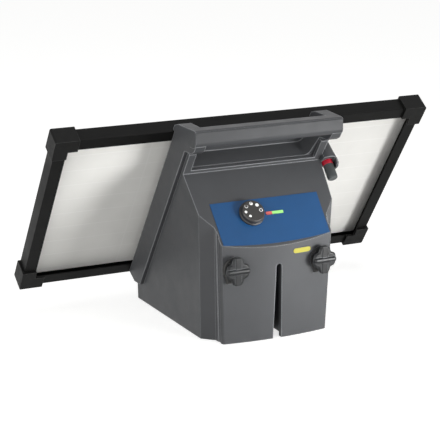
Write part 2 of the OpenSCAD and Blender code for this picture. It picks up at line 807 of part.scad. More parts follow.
// ---- battery ----
batt_top = wall + batt_h;
clamp_t = 2;
clamp_w = 22;
bolt_r = 2.5;
module battery() {
    color("#2a2c30") translate([-batt_l / 2, batt_y, wall]) difference() {
        cube([batt_l, batt_w, batt_h]);
        // the lid's edge
        translate([-1, -1, batt_h - 12]) difference() {
            cube([batt_l + 2, batt_w + 2, 1]);
            translate([1.8, 1.8, -1]) cube([batt_l - 1.6, batt_w - 1.6, 3]);
        }
    }
}
module battery_terminals() {
    color("#c9a24a") both_sides(batt_l / 2 - 9) translate([-3, batt_y + 4, batt_top])
        cube([6, 11, 6]);
}
module battery_clamp() {
    color("#8b8f93") translate([0, batt_foot[1] - clamp_w / 2, 0]) {
        inner = batt_l / 2 + gap;
        translate([-inner - clamp_t, 0, batt_top]) cube([2 * (inner + clamp_t), clamp_w, clamp_t]);
        for (side = [0, 1]) mirror([side, 0, 0]) {
            translate([inner, 0, wall + foot_boss])
                cube([clamp_t, clamp_w, batt_h - foot_boss + clamp_t]);
            difference() {
                translate([inner, 0, wall + foot_boss])
                    cube([batt_foot[0] - inner + boss_r, clamp_w, clamp_t]);
                translate([batt_foot[0], clamp_w / 2, 0]) cylinder(h = far, r = bolt_r + gap);
            }
        }
    }
}
module clamp_bolts() {
    color("silver") both_sides(batt_foot[0])
        translate([0, batt_foot[1], wall + foot_boss + clamp_t])
            screw(bolt_r, 4.6, 3.5, foot_boss + clamp_t - 0.5);
}

// ---- terminals: everything from the seat's floor outwards, along -Y ----
nut_t = 6.5;
insul_face = term_y - insul_t;
insul_step = 1.2;                                  // its face stands in and out by this
washer_face = insul_face - gap;
knob_face = washer_face - washer_t;
knob_bore = knob_l - 3;
stud_in = term_y + pad_d + nut_t + 6;              // inner end of the stud
stud_out = knob_face - knob_bore + 1;              // its outer end, inside the knob
module terminal(side, y) {
    translate([side * term_x, y, term_z]) rotate([90, 0, 0]) children();
}
module insulator(side) {
    color("#1c1d1f") terminal(side, term_y) difference() {
        union() {
            linear_extrude(insul_t - insul_step) shield(insul_r, insul_half, insul_drop);
            linear_extrude(insul_t)
                shield(insul_r - insul_step, insul_half - insul_step, insul_drop - insul_step);
        }
        translate([0, 0, -1]) cylinder(h = insul_t + 2, r = stud_d / 2 + gap);
    }
}
module stud(side) {
    color("silver") terminal(side, stud_in)
        cylinder(h = stud_in - stud_out, r = stud_d / 2);
}
module stud_nut(side) {
    color("silver") terminal(side, term_y + pad_d + nut_t) difference() {
        cylinder(h = nut_t, r = 7.5, $fn = 6);
        translate([0, 0, -1]) cylinder(h = nut_t + 2, r = stud_d / 2);
    }
}
module washer(side) {
    color("silver") terminal(side, washer_face) difference() {
        cylinder(h = washer_t, r = washer_d / 2);
        translate([0, 0, -1]) cylinder(h = washer_t + 2, r = stud_d / 2 + gap);
    }
}
// a hand knob: a dome with four lobes, a flat ridge and a wide rib crossing on its front
module knob(side) {
    r = knob_d / 2;
    rib_w = 12.6;
    color("#434548") terminal(side, knob_face - 0.05) difference() {
        union() {
            difference() {
                rotate_extrude() polygon([
                    [0, 0], [r - 1, 0], [r, 1], [r, 4], [r * 0.76, knob_l * 0.62],
                    [r * 0.45, knob_l - 2.4], [0, knob_l - 2.4]
                ]);
                // flutes that slant in towards the front
                for (a = [45 : 90 : 315]) rotate(a) translate([r * 1.15, 0, 0])
                    rotate([0, -18, 0]) cylinder(h = 3 * knob_l, r = r * 0.42, center = true);
            }
            intersection() {
                rotate_extrude() polygon([
                    [0, 0], [r - 2, 0], [r - 0.4, 5], [r * 0.82, knob_l * 0.62],
                    [r * 0.5, knob_l - 1.4], [0, knob_l - 1.4]
                ]);
                translate([-rib_w / 2, -r, 1]) cube([rib_w, 2 * r, knob_l]);
            }
            intersection() {
                rotate_extrude() polygon([
                    [0, 0], [r - 2, 0], [r - 0.3, 6], [r * 0.84, knob_l - 1.5],
                    [r * 0.7, knob_l], [0, knob_l]
                ]);
                translate([-r, -ridge_t / 2, 1]) cube([2 * r, ridge_t, knob_l]);
            }
        }
        translate([0, 0, -1]) cylinder(h = knob_bore + 1, r = stud_d / 2 + fit);
        // finger notch across the ridge
        translate([5, 0, knob_l - 3.4]) rotate(-35) translate([-1.6, -r / 2, 0])
            cube([3.2, r, 4]);
    }
}
module left_insulator() insulator(-1);
module left_stud() stud(-1);
module left_stud_nut() stud_nut(-1);
module left_washer() washer(-1);
module left_knob() knob(-1);
module right_insulator() insulator(1);
module right_stud() stud(1);
module right_stud_nut() stud_nut(1);
module right_washer() washer(1);
module right_knob() knob(1);

// ---- charge port: along the control face, mouth down ----
port_lip = 3;                                      // how far the seal sits inside
port_seat_r = 9;
socket_r = 6.4;
pin_r = 2.9;
pin_l = 18;                                        // length of the pin past the seal
seal_r = 8.2;
seal_low = port_up - seal_l;
module port_socket() {
    color("#222426") on_port(port_up + port_lip) difference() {
        cylinder(h = port_l - port_lip - port_end, r = socket_r);
        translate([0, 0, -1]) cylinder(h = pin_l + 4, r = pin_r + fit);
    }
}
module port_seal() {
    color("#b4192f") on_port(seal_low) difference() {
        cylinder(h = seal_l + port_lip, r = seal_r);
        translate([0, 0, -1]) cylinder(h = far, r = pin_r);
    }
}
module port_plug() {
    r = plug_d / 2;
    color("#3c4142") {
        on_port(seal_low - plug_l) rotate_extrude() polygon([
            [0, 0], [r - 1.6, 0], [r - 0.4, 1], [r, 3], [r, plug_l], [0, plug_l]
        ]);
        on_port(seal_low - 1) cylinder(h = seal_l + port_lip + pin_l, r = pin_r);
    }
}

// ---- solar panel ----
frame_l = panel_l - 2 * cap_wall;
frame_h = panel_h - 2 * cap_wall;
tab_x = 60;                                        // tabs of the rear housing
tab_w = 16;
tab_l = 6;
tab_t = 2.5;
tab_h = cap_wall + frame_h - flange_w - gap;
tab_k = rail_k + frame_t + gap;
panel_screw = [tab_x, cap_wall + flange_w / 2];
panel_screw_r = 2;
cells = [4, 9];
groove = 2;                                        // depth of the glass in the frame's groove

module rail_section() {
    difference() {
        translate([0, rail_k]) square([flange_w, frame_d]);
        translate([frame_t, rail_k + frame_t])
            square([flange_w, sheet_k - rail_k - 2 * frame_t]);
        translate([frame_t, sheet_k]) square([flange_w, lip_k - sheet_k]);
        translate([lip_w, rail_k + frame_t]) square([flange_w, frame_d]);
    }
}
// a rail along X from the origin's line inwards, mitred at both ends
module rail(l) {
    intersection() {
        across(l) rail_section();
        linear_extrude(cap_d + 10) polygon([
            [-l / 2, 0], [l / 2, 0], [l / 2 - flange_w, flange_w], [-l / 2 + flange_w, flange_w]
        ]);
    }
}
module frame_top() {
    color("#252523") in_panel() difference() {
        translate([0, cap_wall, 0]) rail(frame_l);
        both_sides(panel_screw[0]) translate([0, panel_screw[1], 0])
            cylinder(h = rail_k + frame_t + 3, r = panel_screw_r);
    }
}
module frame_bottom() {
    color("#252523") in_panel() translate([0, panel_h - cap_wall, 0]) mirror([0, 1, 0])
        rail(frame_l);
}
module frame_left() {
    color("#252523") in_panel() translate([-frame_l / 2, panel_h / 2, 0]) rotate([0, 0, -90])
        rail(frame_h);
}
module frame_right() {
    color("#252523") in_panel() translate([frame_l / 2, panel_h / 2, 0]) rotate([0, 0, 90])
        rail(frame_h);
}
module cap_outline(w) {
    r = 2.5;
    difference() {
        square(cap_leg);
        translate([w, w]) square(cap_leg);
        difference() {
            translate([-1, -1]) square(r + 1);
            translate([r, r]) circle(r);
        }
    }
}
module cap(flip_x, flip_h) {
    color("#2c2c2a") in_panel()
        translate([flip_x * panel_l / 2, flip_h > 0 ? panel_h : 0, 0])
            mirror([flip_x > 0 ? 1 : 0, 0, 0]) mirror([0, flip_h > 0 ? 1 : 0, 0]) {
                linear_extrude(rail_k) cap_outline(cap_wall + flange_w);
                linear_extrude(cap_d) cap_outline(cap_wall);
                translate([0, 0, rail_front]) linear_extrude(cap_d - rail_front)
                    cap_outline(cap_wall + lip_w);
            }
}
module cap_top_left() cap(-1, -1);
module cap_top_right() cap(1, -1);
module cap_bottom_left() cap(-1, 1);
module cap_bottom_right() cap(1, 1);

sheet_edge = cap_wall + frame_t + 0.4;             // edge of the laminate in the groove
module panel_layer(k, t, edge) {
    panel_box(panel_l - 2 * edge, [edge, panel_h - edge], [k, k + t]);
}
module panel_glass() {
    color("#a8bccb") in_panel() panel_layer(glass_k, glass_t, sheet_edge);
}
module back_sheet() {
    color("#e4e2dc") in_panel() difference() {
        panel_layer(sheet_k, sheet_t, sheet_edge);
        translate([box_at[0], box_at[1], 0]) cylinder(h = far, r = 4);
    }
}
module solar_cells() {
    edge = sheet_edge + lip_w + 3;
    pitch_x = (panel_l - 2 * edge) / cells[0];
    pitch_h = (panel_h - 2 * edge) / cells[1];
    color("#1b2440") in_panel() for (i = [0 : cells[0] - 1]) for (j = [0 : cells[1] - 1])
        translate([-panel_l / 2 + edge + i * pitch_x + cell_gap / 2,
                   edge + j * pitch_h + cell_gap / 2, cell_k])
            cube([pitch_x - cell_gap, pitch_h - cell_gap, cell_t]);
}
box_size = [62, 50];
box_low = rail_k + 1.4;                            // its lid stays clear of the housing
box_at = [grommet_at[0], grommet_at[1] - 12];
lid_t = 2.5;
module junction_box() {
    w = 2;
    color("#26282a") in_panel() translate([box_at[0], box_at[1], 0]) difference() {
        panel_box(box_size[0], [-box_size[1] / 2, box_size[1] / 2], [box_low + lid_t, sheet_k]);
        panel_box(box_size[0] - 2 * w, [-box_size[1] / 2 + w, box_size[1] / 2 - w],
                  [box_low, sheet_k - w]);
        translate([0, 0, sheet_k - w - 1]) cylinder(h = w + 2, r = 4);
    }
}
module junction_lid() {
    color("#1f2123") in_panel() difference() {
        translate([box_at[0], box_at[1], 0])
            panel_box(box_size[0], [-box_size[1] / 2, box_size[1] / 2],
                      [box_low, box_low + lid_t]);
        translate([grommet_at[0], grommet_at[1], 0]) cylinder(h = far, r = lead_r);
    }
}
lead_r = 2.2;
lead_bend = 20;
lead_k = -20;                                      // where the lead turns to the circuit board
lead_turn = pan(grommet_at[1] - lead_bend * (1 - c_lean), lead_k - lead_bend * s_lean);
lead_end = slope_y + (lead_turn[1] - slope_height(slope_y, board_drop + plug_t)) / tan(slope_a);
module panel_lead() {
    color("#17181a") {
        in_panel() translate([grommet_at[0], grommet_at[1], 0]) {
            translate([0, 0, lead_k]) cylinder(h = sheet_k - 4 - lead_k, r = lead_r);
            translate([0, -lead_bend, lead_k]) rotate([90, 0, 90]) rotate(-panel_lean)
                rotate_extrude(angle = panel_lean) translate([lead_bend, 0]) circle(lead_r);
        }
        translate([grommet_at[0], lead_turn[0], lead_turn[1]]) rotate([90, 0, 0])
            cylinder(h = lead_turn[0] - lead_end - lead_r * tan(slope_a) - gap, r = lead_r);
    }
}
module lead_grommet() {
    color("#1a1a1b") in_panel() translate([grommet_at[0], grommet_at[1], 0]) difference() {
        union() {
            translate([0, 0, back_in]) cylinder(h = wall, r = grommet_r);
            translate([0, 0, back_in - 1.5]) cylinder(h = 1.5, r = grommet_r + 2);
            translate([0, 0, rail_k]) cylinder(h = 1, r = grommet_r + 1.5);
        }
        translate([0, 0, back_in - 3]) cylinder(h = wall + 6, r = lead_r);
    }
}
module panel_screws() {
    color("silver") in_panel() both_sides(panel_screw[0])
        translate([0, panel_screw[1], recess_k])
            mirror([0, 0, 1]) screw(panel_screw_r, 4, 2.4, recess_t + frame_t + 2);
}

front_housing();
rear_housing();
handle_cover();
housing_gasket();
housing_screws();
control_label();
yellow_plate();
dial_knob();
dial_shaft();
rotary_switch();
window_red();
window_green();
circuit_board();
board_parts();
board_screws();
storage_capacitor();
transformer_core();
transformer_coil();
battery();
battery_terminals();
battery_clamp();
clamp_bolts();
left_insulator();
left_stud();
left_stud_nut();
left_washer();
left_knob();
right_insulator();
right_stud();
right_stud_nut();
right_washer();
right_knob();
port_socket();
port_plug();
port_seal();
frame_top();
frame_bottom();
frame_left();
frame_right();
cap_top_left();
cap_top_right();
cap_bottom_left();
cap_bottom_right();
panel_glass();
solar_cells();
back_sheet();
junction_box();
junction_lid();
panel_lead();
lead_grommet();
panel_screws();
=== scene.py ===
import json
import math
import bmesh
import bpy
from mathutils import Matrix, Vector
from mathutils.bvhtree import BVHTree


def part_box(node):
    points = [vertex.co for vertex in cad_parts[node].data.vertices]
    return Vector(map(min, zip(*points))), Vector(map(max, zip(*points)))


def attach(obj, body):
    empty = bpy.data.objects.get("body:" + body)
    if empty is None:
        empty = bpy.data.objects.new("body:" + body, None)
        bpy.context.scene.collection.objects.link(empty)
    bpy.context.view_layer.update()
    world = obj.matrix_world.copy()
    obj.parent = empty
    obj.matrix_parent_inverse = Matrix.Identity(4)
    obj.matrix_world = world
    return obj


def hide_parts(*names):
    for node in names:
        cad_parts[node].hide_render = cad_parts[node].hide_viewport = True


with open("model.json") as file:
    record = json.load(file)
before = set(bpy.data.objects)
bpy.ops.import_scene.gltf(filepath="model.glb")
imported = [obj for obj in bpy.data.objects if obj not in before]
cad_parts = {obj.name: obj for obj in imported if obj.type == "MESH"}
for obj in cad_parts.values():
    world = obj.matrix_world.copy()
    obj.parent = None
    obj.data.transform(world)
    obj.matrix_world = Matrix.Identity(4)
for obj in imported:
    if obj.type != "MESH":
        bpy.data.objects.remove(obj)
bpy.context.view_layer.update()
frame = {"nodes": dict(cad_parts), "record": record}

nodes = frame["nodes"]
scene = bpy.context.scene
mm = 0.001
touch = 1e-6    # metres: closer than this lies in the same plane


# the photo's size, the object's edges in it and its image points, in pixels
photo = {
    "width": 440, "height": 440,
    "left": 14.2, "right": 426.4, "top": 95.3, "bottom": 344.7,
    # corners of the panel's caps and of the housing's base: these set the camera
    "panelTopLeft": (55.0, 144.2), "panelTopRight": (426.4, 107.3),
    "panelBottomLeft": (19.1, 290.0), "panelBottomRight": (361.9, 243.0),
    "baseRearLeft": (138.8, 297.6), "baseFrontLeft": (223.3, 344.6),
    "baseFrontRight": (326.0, 328.8),
    # right end of the handle's top, and the round top of the post slot
    "handleTopRight": (342.8, 119.2), "slotTop": (280.1, 264.0),
    # the dial and the marks printed round it
    "dialCentre": (251.6, 211.5),
    "markRing": (261.0, 210.0), "markFull": (257.0, 205.0), "markHalf": (251.0, 203.5),
    "markCrescent": (246.3, 206.5), "markDotHigh": (246.0, 212.0), "markDotLow": (250.5, 216.0),
}
# where the photo was taken from, in metres and degrees, with the lens and sensor in millimetres
lookFrom = {
    "place": (-1.00576, -2.01643, 0.78100),
    "azimuth": -25.768, "elevation": 15.764, "roll": 0.339,
    "lens": 128.16, "sensor": 36.0, "clipEnd": 50,
}


def makeCamera(values):
    turn, rise, roll = (math.radians(values[key]) for key in ("azimuth", "elevation", "roll"))
    back = Vector((math.sin(turn) * math.cos(rise), -math.cos(turn) * math.cos(rise),
                   math.sin(rise)))
    right = Vector((math.cos(turn), math.sin(turn), 0))
    up = back.cross(right)
    axes = Matrix((right * math.cos(roll) + up * math.sin(roll),
                   up * math.cos(roll) - right * math.sin(roll), back)).transposed().to_4x4()
    axes.translation = Vector(values["place"])
    data = bpy.data.cameras.new("camera")
    data.lens = values["lens"]
    data.sensor_width = values["sensor"]
    data.sensor_fit = "AUTO"
    data.clip_end = values["clipEnd"]
    camera = bpy.data.objects.new("camera", data)
    scene.collection.objects.link(camera)
    camera.matrix_world = axes
    scene.camera = camera
    return camera


camera = makeCamera(lookFrom)
print("camera placed")
longSide = max(photo["width"], photo["height"])


# direction from the camera through a pixel
def photoRay(point):
    data = camera.data
    ray = Vector((point[0] - photo["width"] / 2 + data.shift_x * longSide,
                  photo["height"] / 2 - point[1] + data.shift_y * longSide,
                  -longSide * data.lens / data.sensor_width))
    return (camera.matrix_world.to_3x3() @ ray).normalized()


# pixel at which a place shows
def photoPlace(position):
    local = camera.matrix_world.inverted() @ Vector(position)
    scale = longSide * camera.data.lens / camera.data.sensor_width / -local.z
    return (photo["width"] / 2 - camera.data.shift_x * longSide + local.x * scale,
            photo["height"] / 2 + camera.data.shift_y * longSide - local.y * scale)


def surfaceTree(*names):
    bm = bmesh.new()
    for name in names:
        bm.from_mesh(nodes[name].data)
    tree = BVHTree.FromBMesh(bm)
    bm.free()
    return tree


# where a photo point's ray meets the pieces named, or the place nearest the ray
def placeOn(point, *names):
    tree = surfaceTree(*names)
    start, ray = camera.matrix_world.translation, photoRay(photo[point])
    hit, normal, _, _ = tree.ray_cast(start, ray)
    if hit is None:
        nearShare, stepShare, steps = 0.7, 0.01, 60    # of the way to the origin
        along = [start.length * (nearShare + stepShare * step) for step in range(steps)]
        nearest = [tree.find_nearest(start + ray * reach) for reach in along]
        hit, normal, _, _ = min(nearest, key=lambda found: found[3])
    return hit, normal


# linear colour of an sRGB hex value
def linear(hexColour):
    parts = [int(hexColour[i:i + 2], 16) / 255 for i in (1, 3, 5)]
    return tuple(part / 12.92 if part <= 0.04045 else ((part + 0.055) / 1.055) ** 2.4
                 for part in parts) + (1.0,)


# adds one node; a setting that is a socket is linked, any other is the socket's value. A colour
# Mix node's sockets go by number: input 0 is the factor, 6 and 7 the two colours, output 2 the mix
def addNode(tree, kind, settings=None, **attributes):
    node = tree.nodes.new(kind)
    for name, value in attributes.items():
        setattr(node, name, value)
    for name, value in (settings or {}).items():
        if isinstance(value, bpy.types.NodeSocket):
            tree.links.new(value, node.inputs[name])
        else:
            node.inputs[name].default_value = value
    return node


def newMaterial(name):
    material = bpy.data.materials.new(name)
    material.use_nodes = True
    material.node_tree.nodes.clear()
    return material, material.node_tree


def finishMaterial(material, tree, settings):
    shader = addNode(tree, "ShaderNodeBsdfPrincipled", settings)
    addNode(tree, "ShaderNodeOutputMaterial", {"Surface": shader.outputs["BSDF"]})
    return material


# unevenness of a surface: cloudy values between low and high, a patch being so many mm across;
# noise seldom leaves the middle stretch, which is spread over the whole range
def unevenness(tree, place, size, detail=2.0, low=0.0, high=1.0):
    noise = addNode(tree, "ShaderNodeTexNoise",
                    {"Vector": place, "Scale": 1 / (size * mm), "Detail": detail})
    return addNode(tree, "ShaderNodeMapRange",
                   {"Value": noise.outputs["Fac"], "From Min": 0.3, "From Max": 0.7,
                    "To Min": low, "To Max": high}).outputs["Result"]


# what the moulded plastics share unless one says otherwise
moulding = {
    "samples": 8,                        # of the rounded normal
    "highlightFrom": 0.99, "highlightFull": 0.8,   # cosine of the turn from the flat face to the rounded one
    "roughSpread": 0.05, "ior": 1.49, "specular": 0.5,
}


# moulded plastic: matte, with the fine grain of the mould, a faint cloudiness and soft edges
# that are painted lighter, a painted highlight where rounded edges catch the light
def mouldedPlastic(name, ownValues):
    values = {**moulding, **ownValues}
    material, tree = newMaterial(name)
    place = addNode(tree, "ShaderNodeTexCoord").outputs["Object"]
    rounded = addNode(tree, "ShaderNodeBevel", {"Radius": values["edge"] * mm},
                      samples=values["samples"]).outputs["Normal"]
    faceNormal = addNode(tree, "ShaderNodeNewGeometry").outputs["Normal"]
    turned = addNode(tree, "ShaderNodeVectorMath", {0: rounded, 1: faceNormal},
                     operation="DOT_PRODUCT").outputs["Value"]
    # the more the rounded normal turns from the flat face, the more the edge is painted towards the
    # lighter colour: a painted highlight along every edge
    paintedHighlight = addNode(tree, "ShaderNodeMapRange",
                   {"Value": turned, "From Min": values["highlightFrom"],
                    "From Max": values["highlightFull"],
                    "To Min": 0.0, "To Max": values["wear"]}).outputs["Result"]
    cloud = unevenness(tree, place, values["cloud"], detail=3.0)
    body = addNode(tree, "ShaderNodeMix",
                   {0: cloud, 6: linear(values["colour"]), 7: linear(values["cloudColour"])},
                   data_type="RGBA").outputs[2]
    colour = addNode(tree, "ShaderNodeMix",
                     {0: paintedHighlight, 6: body, 7: linear(values["edgeColour"])},
                     data_type="RGBA").outputs[2]
    bump = addNode(tree, "ShaderNodeBump",
                   {"Height": unevenness(tree, place, values["grain"]), "Normal": rounded,
                    "Strength": values["depth"], "Distance": values["grain"] * mm / 2})
    rough = unevenness(tree, place, values["cloud"] / 3,
                       low=values["rough"] - values["roughSpread"],
                       high=values["rough"] + values["roughSpread"])
    return finishMaterial(material, tree, {
        "Base Color": colour, "Roughness": rough, "Normal": bump.outputs["Normal"],
        "IOR": values["ior"], "Specular IOR Level": values["specular"]})


# edge: mm over which an edge looks rounded; wear: how far an edge is painted towards the
# lighter edgeColour, a painted highlight; grain and cloud: mm across one grain of the mould and one
# cloudy patch; depth: of the grain
plastics = {
    # polypropylene housing: dark grey and matte, from a spark-eroded mould
    "mouldedPolypropylene": {
        "slots": ["housing"], "colour": "#434446", "cloudColour": "#48494b",
        "edgeColour": "#9fa1a4", "edge": 2.8, "wear": 0.7, "grain": 0.9, "depth": 0.14,
        "cloud": 60, "rough": 0.44, "specular": 0.2},
    # the same polypropylene, moulded as the handle's sleeve, with crisper edges
    "mouldedPolypropyleneSleeve": {
        "slots": ["handle_cover"], "colour": "#454648", "cloudColour": "#4a4b4d",
        "edgeColour": "#9fa1a4", "edge": 1.2, "wear": 0.8, "grain": 0.9, "depth": 0.14,
        "cloud": 60, "rough": 0.44, "specular": 0.2},
    # nylon knobs: black, denser and a little glossier than the housing
    "mouldedNylonKnob": {
        "slots": ["terminal_knob"], "colour": "#0b0c0d", "cloudColour": "#191b1d",
        "edgeColour": "#85888b", "edge": 1.0, "wear": 0.85, "grain": 0.7, "depth": 0.1,
        "cloud": 20, "rough": 0.36, "specular": 0.3},
    # nylon fittings behind the knobs, the port and the panel's connections
    "mouldedNylonBase": {
        "slots": ["insulator", "socket", "junction"], "colour": "#232323", "cloudColour": "#292928",
        "edgeColour": "#555553", "edge": 1.0, "wear": 0.7, "grain": 0.7, "depth": 0.1,
        "cloud": 30, "rough": 0.42},
    # nylon corner caps: as black as the frame they are pushed into
    "mouldedNylonCap": {
        "slots": ["corner_cap"], "colour": "#141414", "cloudColour": "#191918",
        "edgeColour": "#5a5a59", "edge": 0.8, "wear": 0.8, "grain": 0.7, "depth": 0.1,
        "cloud": 30, "rough": 0.5, "specular": 0.1},
    # ABS dial: smooth and faintly warm
    "mouldedAbsDial": {
        "slots": ["dial"], "colour": "#2a2827", "cloudColour": "#2f2d2c",
        "edgeColour": "#6e6a68", "edge": 0.7, "wear": 0.6, "grain": 0.5, "depth": 0.08,
        "cloud": 15, "rough": 0.38},
    # soft PVC plug and lead: dull and slightly blue
    "softPvcPlug": {
        "slots": ["plug", "lead"], "colour": "#313535", "cloudColour": "#383c3c",
        "edgeColour": "#5d6262", "edge": 0.8, "wear": 0.5, "grain": 0.8, "depth": 0.12,
        "cloud": 12, "rough": 0.52},
    # silicone seal: red, with a slightly oily sheen
    "redSilicone": {
        "slots": ["seal"], "colour": "#b0122c", "cloudColour": "#9c0f26",
        "edgeColour": "#c93a4c", "edge": 0.5, "wear": 0.4, "grain": 0.8, "depth": 0.06,
        "cloud": 10, "rough": 0.34},
    # foamed rubber gasket: the dullest and roughest of them
    "blackRubber": {
        "slots": ["gasket"], "colour": "#2c2c2d", "cloudColour": "#323233",
        "edgeColour": "#434344", "edge": 0.4, "wear": 0.5, "grain": 0.8, "depth": 0.15,
        "cloud": 20, "rough": 0.7},
    # ABS cases of the battery, the switch and the board's parts: near black
    "mouldedAbsCase": {
        "slots": ["battery", "switch_body", "board_parts"],
        "colour": "#1f2226", "cloudColour": "#24282c",
        "edgeColour": "#4b5055", "edge": 0.8, "wear": 0.5, "grain": 0.6, "depth": 0.1,
        "cloud": 40, "rough": 0.4},
    # polyester case of the storage capacitor: cream and smooth
    "mouldedPolyesterCase": {
        "slots": ["capacitor"], "colour": "#cfcabb", "cloudColour": "#c6c0b0",
        "edgeColour": "#e2dfd5", "edge": 0.8, "wear": 0.5, "grain": 0.6, "depth": 0.06,
        "cloud": 20, "rough": 0.4},
}


# aluminium section: thick black anodising hides the metal and leaves a dull sheen, with the
# drawn lines of the extrusion along its length
def anodisedAluminium(name, values):
    material, tree = newMaterial(name)
    place = addNode(tree, "ShaderNodeTexCoord").outputs["Object"]
    drawn = addNode(tree, "ShaderNodeMapping",
                    {"Vector": place, "Scale": (values["drawn"], 1.0, 1.0)}).outputs["Vector"]
    rounded = addNode(tree, "ShaderNodeBevel", {"Radius": values["edge"] * mm},
                      samples=values["samples"]).outputs["Normal"]
    lines = unevenness(tree, drawn, values["lines"])
    colour = addNode(tree, "ShaderNodeMix",
                     {0: lines, 6: linear(values["colour"]), 7: linear(values["lineColour"])},
                     data_type="RGBA").outputs[2]
    rough = unevenness(tree, place, values["cloud"], low=values["rough"][0],
                       high=values["rough"][1])
    bump = addNode(tree, "ShaderNodeBump",
                   {"Height": lines, "Normal": rounded, "Strength": values["depth"],
                    "Distance": values["lineHeight"] * mm})
    return finishMaterial(material, tree, {
        "Base Color": colour, "Roughness": rough, "Specular IOR Level": values["specular"],
        "Normal": bump.outputs["Normal"]})


anodised = {
    "blackAnodisedAluminium": {
        "slots": ["frame"], "colour": "#0e0e0e", "lineColour": "#131312",
        "lines": 1.0, "drawn": 0.02,     # mm across a line, and how far it is drawn out
        "lineHeight": 0.1, "depth": 0.06,
        "edge": 0.5, "samples": 8, "cloud": 40, "rough": (0.41, 0.51), "specular": 0.08},
}


# what the bright metals share: their lines' height and the patches of their shine in mm
turnedFinish = {"lineHeight": 0.1, "depth": 0.08, "patch": 3.0, "roughSpread": 0.06}


# bright metal: turned or rolled, so its fine lines break up the shine
def brightMetal(name, ownValues):
    values = {**turnedFinish, **ownValues}
    material, tree = newMaterial(name)
    place = addNode(tree, "ShaderNodeTexCoord").outputs["Object"]
    lines = unevenness(tree, place, values["lines"], detail=3.0)
    colour = addNode(tree, "ShaderNodeMix",
                     {0: lines, 6: linear(values["colour"]), 7: linear(values["lineColour"])},
                     data_type="RGBA").outputs[2]
    rough = unevenness(tree, place, values["patch"],
                       low=values["rough"] - values["roughSpread"],
                       high=values["rough"] + values["roughSpread"])
    bump = addNode(tree, "ShaderNodeBump",
                   {"Height": lines, "Strength": values["depth"],
                    "Distance": values["lineHeight"] * mm})
    return finishMaterial(material, tree, {
        "Base Color": colour, "Roughness": rough, "Metallic": 1.0,
        "Normal": bump.outputs["Normal"]})


brightMetals = {
    # screws, studs and clamp: zinc plated, with a cool grey bloom
    "zincPlatedSteel": {"slots": ["screw_steel", "stud_steel", "clamp"], "colour": "#b4b6b6",
                        "lineColour": "#a3a6a8", "lines": 0.8, "rough": 0.34},
    # washers and shaft: turned stainless, the brightest
    "turnedStainlessSteel": {"slots": ["washer_steel", "shaft_steel"], "colour": "#c2c2c0",
                             "lineColour": "#adaeae", "lines": 0.5, "rough": 0.26},
    # the battery's tabs: tinned brass
    "tinnedBrass": {"slots": ["brass"], "colour": "#c5a45a", "lineColour": "#b08f48",
                    "lines": 0.6, "rough": 0.3},
}


# satin coat over a printed or painted skin; patches, grain and its height in mm
satinCoat = {
    "cloud": 30, "grain": 0.8, "grainHeight": 0.1, "depth": 0.05,
    "specular": 0.35, "coat": 0.2, "coatRough": 0.35,
}


# printed film: polyester with a satin coat and a very fine texture
def printedFilm(name, ownValues):
    values = {**satinCoat, **ownValues}
    material, tree = newMaterial(name)
    place = addNode(tree, "ShaderNodeTexCoord").outputs["Object"]
    colour = addNode(tree, "ShaderNodeMix",
                     {0: unevenness(tree, place, values["cloud"], detail=3.0),
                      6: linear(values["colour"]), 7: linear(values["cloudColour"])},
                     data_type="RGBA").outputs[2]
    bump = addNode(tree, "ShaderNodeBump",
                   {"Height": unevenness(tree, place, values["grain"]),
                    "Strength": values["depth"], "Distance": values["grainHeight"] * mm})
    return finishMaterial(material, tree, {
        "Base Color": colour, "Roughness": values["rough"],
        "Specular IOR Level": values["specular"], "Coat Weight": values["coat"],
        "Coat Roughness": values["coatRough"], "Normal": bump.outputs["Normal"]})


films = {
    # blue label and yellow plate, printed on the back of clear polyester
    "bluePolyesterFilm": {"slots": ["label"], "colour": "#0d4270", "cloudColour": "#0c3f6b",
                          "rough": 0.42},
    "yellowPolyesterFilm": {"slots": ["yellow_plate"], "colour": "#a39c1c",
                            "cloudColour": "#9c9519", "rough": 0.45},
    # windows over the lamps: pale tinted acrylic, a little glossier
    "redAcrylicLens": {"slots": ["window_red"], "colour": "#c8625e", "cloudColour": "#c05854",
                       "rough": 0.3},
    "greenAcrylicLens": {"slots": ["window_green"], "colour": "#9ee283",
                         "cloudColour": "#93dc78", "rough": 0.3},
    # hidden parts with a lacquered or pressed skin
    "solderMask": {"slots": ["circuit_board"], "colour": "#1d5a35", "cloudColour": "#1a5331",
                   "rough": 0.35},
    "varnishedWinding": {"slots": ["coil"], "colour": "#8d4a1e", "cloudColour": "#7d3f18",
                         "rough": 0.3},
    "pressedFerrite": {"slots": ["core"], "colour": "#37373a", "cloudColour": "#2f2f32",
                       "rough": 0.6},
}

# lean in degrees from upright; cells with a margin round them; the lines between cells, cloudy
# patches and ripples in mm
panelSheet = {
    "lean": 34.1, "cellsAcross": 4, "cellsDown": 9, "margin": 16.5,
    "colour": "#eeede9", "shadeColour": "#e4e3df", "lineColour": "#f9f8f6",
    "lineHalf": 1.6, "lineShare": 0.3, "cloud": 90, "ripple": 25, "rippleHeight": 0.6,
    "depth": 0.12, "rough": 0.5,
}


